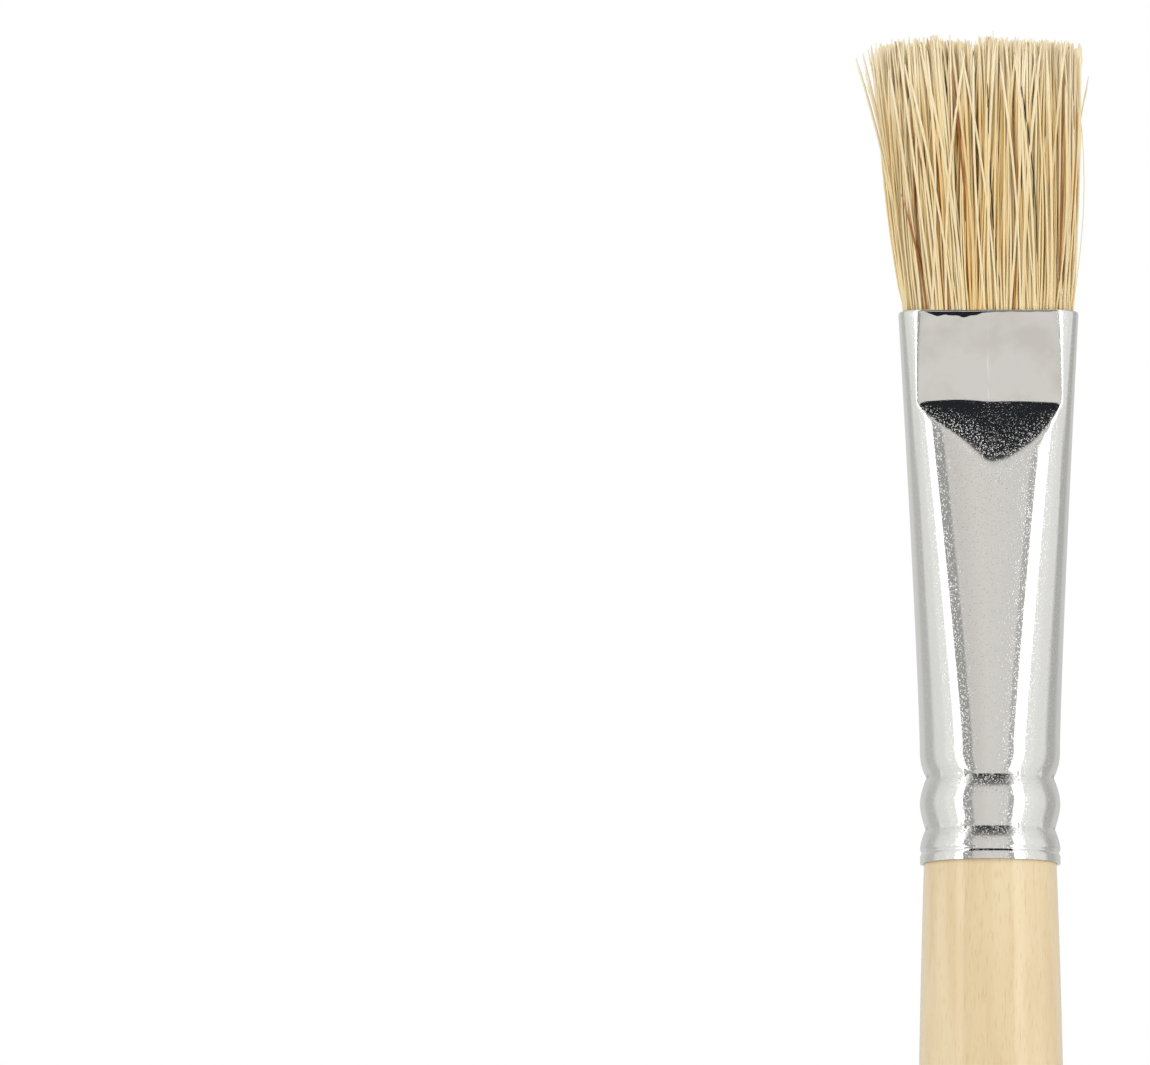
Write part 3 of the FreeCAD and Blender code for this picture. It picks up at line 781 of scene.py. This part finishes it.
@dataclass
class Tuft:
    """The bristles, hair by hair, gathered in the same locks as the CAD model."""

    mouth: float
    butts: float                   # height of the butts, in the resin
    tips: float                    # height of the trimmed tips
    half_width: float = 7.72 * MM  # inside the ferrule's mouth
    half_depth: float = 3.75 * MM  # of the oval, before the flats
    flat_depth: float = 2.70 * MM
    tip_depth: float = 3.95 * MM
    pitch: float = 0.193 * MM
    radius: float = 0.113 * MM
    columns: int = 6
    clumps: int = 230
    gather: float = 0.86           # how much closer together the butts stand than at the mouth
    wild: float = 0.09             # share of hairs that lean and bow more
    loose: float = 0.22            # share of the outer hairs that lie across the others
    short: float = 0.14            # share of hairs that end below the trim
    amber: float = 0.035           # share of hairs that are amber
    shares: tuple[float, ...] = (0.0, 0.12, 0.25, 0.38, 0.50, 0.61, 0.71, 0.80, 0.88, 0.95, 1.0)
    taper: tuple[float, ...] = (1, 1, 1, 1, 1.04, 1.09, 1.13, 1.16, 1.17, 1.12, 0.95, 0.5)
    flag_taper: tuple[float, ...] = (1.0, 0.9, 0.75, 0.5, 0.15)
    random: np.random.Generator = field(default_factory=lambda: np.random.default_rng(11))

    def roots(self) -> Array:
        """Where the hairs pass the ferrule's mouth: closely packed, slightly unevenly."""
        across = np.arange(-self.half_width, self.half_width, self.pitch)
        rows = np.arange(-self.flat_depth, self.flat_depth, self.pitch * math.sqrt(3) / 2)
        x, y = np.meshgrid(across, rows)
        x = x + (np.arange(len(rows)) % 2)[:, None] * self.pitch / 2
        places = np.stack([x.ravel(), y.ravel()], 1)
        places += self.random.normal(0, 0.022 * MM, places.shape)
        oval = (places[:, 0] / self.half_width) ** 2 + (places[:, 1] / self.half_depth) ** 2
        return places[(oval < 0.985) & (np.abs(places[:, 1]) < self.flat_depth)]

    def spread(self, x: Array, rise: Array) -> Array:
        """How the tuft opens across its width: it flares at the left, and swells at the right.

        Args:
            x: Places across the mouth.
            rise: Heights above the mouth.

        Returns:
            The places across at those heights.
        """
        u = x / self.half_width
        s = rise / MM
        left = np.clip(-u, 0, None) ** 1.2 * (0.152 * s - 0.0022 * s ** 2)
        right = np.clip(u, 0, None) ** 1.2 * (0.050 * s - 0.0014 * s ** 2)
        lean = 0.016 * s + 0.0004 * s ** 2
        return x + (right - left - lean * (1 - np.abs(u))) * MM

    def paths(self, places: Array) -> tuple[Array, Array, Array]:
        """Lays out the hairs of the tuft.

        Args:
            places: Where each hair passes the mouth.

        Returns:
            Each hair's points, its radius and its tone.
        """
        total = len(places)
        draw = self.random
        centres = places[draw.choice(total, self.clumps, replace=False)]
        stretch = np.array([1.0, 1.35])
        gap = np.linalg.norm((places[:, None] - centres[None]) * stretch, axis=2)
        clump = gap.argmin(1)
        clump_lean = draw.normal(0, 1, (self.clumps, 2)) * np.array([0.50, 0.24]) * MM
        clump_tone = draw.normal(0, 0.07, self.clumps)
        wild = draw.random(total) < self.wild
        lean = draw.normal(0, 1, (total, 2)) * np.array([0.34, 0.18]) * MM
        lean[wild] *= 3.2
        loose = (draw.random(total) < self.loose) & (np.abs(places[:, 1]) > 0.78 * self.flat_depth)
        lean[loose] = draw.normal(0, 1, (loose.sum(), 2)) * np.array([1.15, 0.05]) * MM
        lean[loose, 1] += 0.28 * MM * np.sign(places[loose, 1])
        bow = draw.normal(0, 1, (total, 2)) * np.array([0.20, 0.13]) * MM
        bow[wild] *= 2.2
        swing = draw.normal(0, 0.07, (total, 2)) * MM

        longest = self.tips - self.mouth
        length = longest * (1.004 - np.abs(draw.normal(0, 0.017, total)))
        length = length + draw.normal(0, 0.13, self.clumps)[clump] * MM
        short = draw.random(total) < self.short
        length[short] *= draw.uniform(0.62, 0.97, short.sum())
        share = np.array(self.shares)[None, :]
        rise = length[:, None] * share
        up = rise / longest

        x = self.spread(places[:, :1], rise)
        depth_growth = (self.tip_depth - self.flat_depth) / self.flat_depth
        y = places[:, 1:] * (1 + depth_growth * up ** 1.1)
        pull = 0.38 * smooth_step(0.1, 1.0, up)
        home = centres[clump]
        x = x + (self.spread(home[:, :1], rise) - x) * pull + clump_lean[clump, :1] * up ** 1.4
        home_y = home[:, 1:] * (1 + depth_growth * up ** 1.1)
        y = y + (home_y - y) * pull + clump_lean[clump, 1:] * up ** 1.4
        arch = np.sin(math.pi * share)
        wave = np.sin(2 * math.pi * share)
        x = x + lean[:, :1] * up ** 1.5 + bow[:, :1] * arch + swing[:, :1] * wave
        y = y + lean[:, 1:] * up ** 1.5 + bow[:, 1:] * arch + swing[:, 1:] * wave
        edges = [self.spread(side * self.half_width * np.ones_like(x), rise) for side in (-1, 1)]
        x = np.where(x < edges[0], edges[0] + (x - edges[0]) * 0.25, x)
        x = np.where(x > edges[1], edges[1] + (x - edges[1]) * 0.25, x)
        reach = self.tip_depth * up + self.flat_depth * (1 - up) + 0.25 * MM * up
        y = np.clip(y, -reach, reach)
        points = np.stack([x, y, self.mouth + rise], 2)

        radius = self.radius * draw.uniform(0.72, 1.1, total)
        radius[loose] *= 1.12
        tone = np.clip(draw.normal(0.72, 0.15, total) + clump_tone[clump], 0.36, 1.0)
        amber = draw.random(total) < self.amber
        tone[amber] = draw.uniform(0.2, 0.34, amber.sum())
        return points, radius, tone

    def stray_path(self, stray: Stray) -> Array:
        """The path of a stray hair.

        Args:
            stray: The hair.

        Returns:
            Its points, from the mouth to the tip.
        """
        share = np.array(self.shares)
        x = stray.root + (stray.tip - stray.root) * share ** 1.15
        x = x + stray.bow * np.sin(math.pi * share)
        y = -(stray.depth + (stray.tip_depth - stray.depth) * share)
        return np.stack([x * MM, y * MM, self.mouth + stray.height * MM * share], 1)

    def flags(self, points: Array, radius: Array) -> tuple[Array, Array]:
        """Paths of the fine split ends that leave each hair near its tip.

        Args:
            points: The hairs' paths.
            radius: The hairs' radii.

        Returns:
            The flags' paths and radii, two for each hair.
        """
        hairs = len(points)
        paths, widths = [], []
        for _ in range(2):
            away = self.random.normal(0, 1, (hairs, 2)) * 0.13 * MM
            longer = self.random.uniform(-1.2, 0.12, (hairs, 1)) * MM
            start, end = points[:, -3], points[:, -1]
            steps = np.linspace(0, 1, 5)[None, :, None]
            path = start[:, None] + (end - start)[:, None] * steps
            path[:, :, :2] += away[:, None, :] * steps ** 1.6
            path[:, :, 2] += longer * steps[:, :, 0] ** 1.2
            paths.append(path)
            widths.append(radius * 0.42)
        return np.concatenate(paths), np.concatenate(widths)

    def build(self, material: Material) -> None:
        """Grows the hairs and gathers them in one piece for each lock."""
        points, radius, tone = self.paths(self.roots())
        aside = np.abs(points[:, 0, 0]) / self.half_width
        tone = tone + np.where(tone > 0.35, 0.15 * smooth_step(0.6, 0.95, aside), 0)
        points = np.concatenate([points, [self.stray_path(stray) for stray in STRAYS]])
        radius = np.concatenate([radius, [stray.radius * MM for stray in STRAYS]])
        tone = np.concatenate([tone, [stray.tone for stray in STRAYS]])
        flag_points, flag_radius = self.flags(points, radius)

        x, y = points[:, 0, 0], points[:, 0, 1]
        to_face = self.flat_depth - np.abs(y)
        to_side = self.half_depth - np.hypot(x * self.half_depth / self.half_width, y)
        # painted shade: how deep in the tuft each hair stands, which the material paints as a
        # deeper gold
        inside = 0.8 * smooth_step(0.28 * MM, 0.8 * MM, np.minimum(to_side, to_face))
        butts = np.stack([x * self.gather, y * self.gather, np.full_like(x, self.butts)], 1)
        hairs = Strands(np.concatenate([butts[:, None], points], 1), radius, tone, inside,
                        np.array([0.0, *self.shares]), np.array(self.taper))
        flags = Strands(flag_points, flag_radius, np.tile(tone, 2), np.tile(inside, 2),
                        np.linspace(0.93, 1, 5), np.array(self.flag_taper))

        rows = np.clip((y / self.flat_depth + 1) * 1.5, 0, 2).astype(int)
        columns = np.clip((x / self.half_width + 1) / 2 * self.columns, 0,
                          self.columns - 1).astype(int)
        for row, where in enumerate(Row):
            for column in range(self.columns):
                chosen = np.flatnonzero((rows == row) & (columns == column))
                parts = [hairs.copies(chosen, self.random),
                         flags.copies(np.concatenate([chosen, chosen + len(x)]), self.random)]
                self.piece(f"{where.value}_{column + 1}", parts, material)

    def piece(self, place: str, parts: list[tuple[Array, ...]], material: Material) -> None:
        """Makes one lock's mesh and dresses it.

        Args:
            place: The lock's row and column.
            parts: Vertices, faces and tones of its hairs and of their split ends.
            material: The hairs' material.
        """
        vertices = np.concatenate([part[0] for part in parts])
        faces = np.concatenate([parts[0][1], parts[1][1] + len(parts[0][0])])
        mesh = bpy.data.meshes.new(f"hairs_{place}")
        mesh.from_pydata(vertices.tolist(), [], faces.tolist())
        tones = mesh.attributes.new("hair_tone", "FLOAT_COLOR", "POINT")
        tones.data.foreach_set("color", np.concatenate([part[2] for part in parts]).astype(
            np.float32).ravel())
        made = bpy.data.objects.new(mesh.name, mesh)
        bpy.context.scene.collection.objects.link(made)
        dress(made, material, f"bristle_lock_{place}")


# ---- studio

@dataclass(frozen=True)
class Band:
    """A strip of the studio round the brush, as seen in its reflections."""

    right_start: float               # degrees from the front where it starts, at the right
    left_start: float                # the same at the left
    right: tuple[float, float, float]        # its red, green and blue light at the right
    left: tuple[float, float, float]
    blur: float = 0.8                # half of what it takes to go over from the band before


@dataclass
class Studio:
    """A white table in a white room. What shines also sees the cards and softboxes round it."""

    card_top: float = 34.0           # degrees up to which the grey card in front reaches
    gloom: tuple[float, float, float] = (0.018, 0.02, 0.024)     # light from above that card
    overhead: tuple[float, float, float] = (1.1, 1.1, 1.1)       # light from straight above
    bands: tuple[Band, ...] = (
        Band(0.0, 0.0, (0.742, 0.727, 0.704), (0.752, 0.727, 0.704)),
        Band(14.0, 13.0, (0.695, 0.682, 0.665), (0.675, 0.655, 0.635), 9.0),
        Band(29.0, 31.0, (0.48, 0.48, 0.48), (0.37, 0.37, 0.37), 1.2),
        Band(38.5, 48.0, (2.1, 2.1, 2.1), (2.1, 2.1, 2.1)),
        Band(57.0, 61.0, (0.88, 0.885, 0.88), (0.88, 0.885, 0.875), 2.0),
        Band(76.0, 80.0, (0.84, 0.845, 0.84), (0.80, 0.81, 0.795), 3.0),
        Band(104.0, 107.0, (0.47, 0.47, 0.46), (0.53, 0.53, 0.52), 5.0),
        Band(134.0, 136.0, (0.64, 0.64, 0.63), (0.68, 0.68, 0.67), 6.0),
    )

    def world(self) -> None:
        """Builds the room: white to the eye, soft on matt things, cards and softboxes on gloss."""
        world = bpy.data.worlds.new("white_room")
        bpy.context.scene.world = world
        world.use_nodes = True
        world.node_tree.nodes.clear()
        add = partial(add_node, world.node_tree)
        path = add("LightPath").outputs
        plain = add("Background", {"Color": (1, 1, 1, 1), "Strength": 0.62})
        seen = add("Background", {"Color": (1, 1, 1, 1), "Strength": 1.0})
        cards = add("Background", {"Color": self.reflections(add), "Strength": 1.0})
        shine = add("MixShader", [path["Is Glossy Ray"], plain, cards])
        direct = add("Math", [path["Is Camera Ray"], path["Is Transmission Ray"]],
                     operation="MAXIMUM")
        add("OutputWorld", {"Surface": add("MixShader", [direct, shine, seen])})

    def half(self, add: Adder, side: str, share: Node) -> Node:
        """One side's bands as a colour ramp.

        Args:
            add: The adder of nodes to the world.
            side: "left" or "right".
            share: The angle from the front, as a share of half a turn.

        Returns:
            The ramp.
        """
        stops = []
        for band, after in zip(self.bands, (*self.bands[1:], None)):
            start, colour = getattr(band, f"{side}_start"), (*getattr(band, side), 1.0)
            stops.append(((start + band.blur) / 180 if start else 0.0, colour))
            if after:
                stops.append(((getattr(after, f"{side}_start") - after.blur) / 180, colour))
        ramp = add("ValToRGB", [share])
        set_ramp(ramp, stops)
        return ramp

    def reflections(self, add: Adder) -> Node:
        """The cards and softboxes, as colours by direction.

        Args:
            add: The adder of nodes to the world.

        Returns:
            The node that gives the colour.
        """
        way = add("TexCoord").outputs["Generated"]
        parts = add("SeparateXYZ", [way]).outputs
        front = add("Math", [parts["Y"], -1.0], operation="MULTIPLY")
        side = add("Math", [parts["X"], front], operation="ARCTAN2")
        turn = add("Math", [side], operation="ABSOLUTE")
        share = add("Math", [turn, math.pi], operation="DIVIDE")
        at_right = add("Math", [side, 0.0], operation="GREATER_THAN")
        left, right = (self.half(add, name, share) for name in ("left", "right"))
        around = add_mix(add, at_right, left, right)
        climb = add("Math", [parts["Z"]], operation="ARCSINE")
        top = math.radians(self.card_top)
        above = add("MapRange", [climb, top, top + 0.03])
        in_front = add("MapRange", [turn, math.radians(50), math.radians(46)])
        dark = add("Math", [above, in_front], operation="MULTIPLY")
        shaded = add_mix(add, dark, around, (*self.gloom, 1))
        high = add("MapRange", [climb, math.radians(74), math.radians(80)])
        return add_mix(add, high, shaded, (*self.overhead, 1))

    def lamp(self, name: str, place: Vector, aim: Vector, width: float, watts: float) -> None:
        """Adds a square softbox. Reflections see the studio's own cards instead of it.

        Args:
            name: The lamp's name.
            place: Where it stands.
            aim: The point that it faces.
            width: Its width.
            watts: Its power.
        """
        light = bpy.data.lights.new(name, "AREA")
        light.size = width
        light.energy = watts
        made = bpy.data.objects.new(name, light)
        made.location = place
        made.rotation_euler = (aim - place).to_track_quat("-Z", "Y").to_euler()
        made.visible_glossy = False
        bpy.context.scene.collection.objects.link(made)

    def floor(self) -> None:
        """Lays a white table top that keeps the brush's shadow, and fades to white far off."""
        bpy.ops.object.select_all(action="DESELECT")
        bpy.ops.mesh.primitive_plane_add(size=8.0, location=(0, 0, 0))
        top = bpy.context.object
        top.name = "table_top"
        material, add, place = new_material("white_table_top")
        mottle = add("TexNoise", {"Vector": place, "Scale": 40.0})
        tint = add("MapRange", [mottle, 0.0, 1.0, 0.80, 0.82])
        colour = add("CombineColor", {"Red": tint, "Green": tint, "Blue": tint})
        away = add("VectorMath", [place], operation="LENGTH")
        glow = add("MapRange", [away, 0.5, 1.3, 0.22, 0.7])
        seen = add("LightPath").outputs["Is Camera Ray"]
        lift = add("Math", [seen, glow], operation="MULTIPLY")
        add_surface(add, {"Base Color": colour, "Roughness": 0.9,
                          "Emission Color": (1, 1, 1, 1), "Emission Strength": lift})
        top.data.materials.append(material)
        top.visible_glossy = False
        top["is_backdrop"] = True

    def build(self, height: float) -> None:
        """Sets up the room, the table and the lamps round a brush of this height."""
        self.world()
        self.floor()
        middle = Vector((0, 0, height * 0.7))
        self.lamp("key_softbox", Vector((-0.85, -0.6, 0.6)), middle, 0.7, 4.4)
        self.lamp("fill_softbox", Vector((0.9, -0.5, 0.45)), middle, 0.7, 4.4)
        self.lamp("back_softbox", Vector((0.1, 0.9, 0.8)), middle, 0.7, 4.0)


@dataclass
class Viewpoint:
    """The camera: a long lens, a little below the ferrule and to the left of the brush."""

    target: Vector
    view_width: float  # what the camera sees from left to right at the brush
    distance: float = 1.2
    rise: float = math.radians(-6.3)
    sensor: float = 36.0

    def build(self) -> None:
        """Places the camera and makes it the scene's."""
        camera = bpy.data.cameras.new("camera")
        camera.sensor_width = self.sensor
        camera.lens = self.sensor * self.distance / self.view_width
        camera.clip_start = 0.01
        camera.clip_end = 50.0
        made = bpy.data.objects.new("camera", camera)
        away = Vector((0, -math.cos(self.rise), math.sin(self.rise)))
        made.location = self.target + away * self.distance
        made.rotation_euler = (-away).to_track_quat("-Z", "Y").to_euler()
        bpy.context.scene.collection.objects.link(made)
        bpy.context.scene.camera = made


# ---- the whole brush

def corners() -> list[list[float]]:
    """The object's lowest and highest corners as plain lists of numbers."""
    return [[float(value) for value in corner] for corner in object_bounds()]


def main() -> None:
    """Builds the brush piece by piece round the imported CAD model."""
    logging.basicConfig(level=logging.INFO, format="%(name)s: %(message)s")
    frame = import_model()
    bpy.context.scene.view_settings.view_transform = "Standard"

    ferrule_low, ferrule_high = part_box("ferrule")
    handle_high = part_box("handle")[1]
    lock_low, lock_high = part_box("bristle_lock_middle_1")
    Viewpoint(Vector((-37.4 * MM, 0, ferrule_high.z - 19.95 * MM)), 103.85 * MM).build()
    Studio().build(lock_high.z)

    Handle(ferrule_low.z, handle_high.z, handle_high.x).build(LacqueredWood().make())
    Ferrule(ferrule_low.z, ferrule_high.z, ferrule_high.x, ferrule_high.y).build(
        NickelPlate().make())
    Tuft(ferrule_high.z, lock_low.z, lock_high.z).build(HogBristle().make())
    plug = frame["nodes"]["resin_plug"]
    plug.data.materials.clear()
    plug.data.materials.append(CastResin().make())
    log.info("resin_plug: the CAD node, in cast resin")


if __name__ == "__main__":
    main()
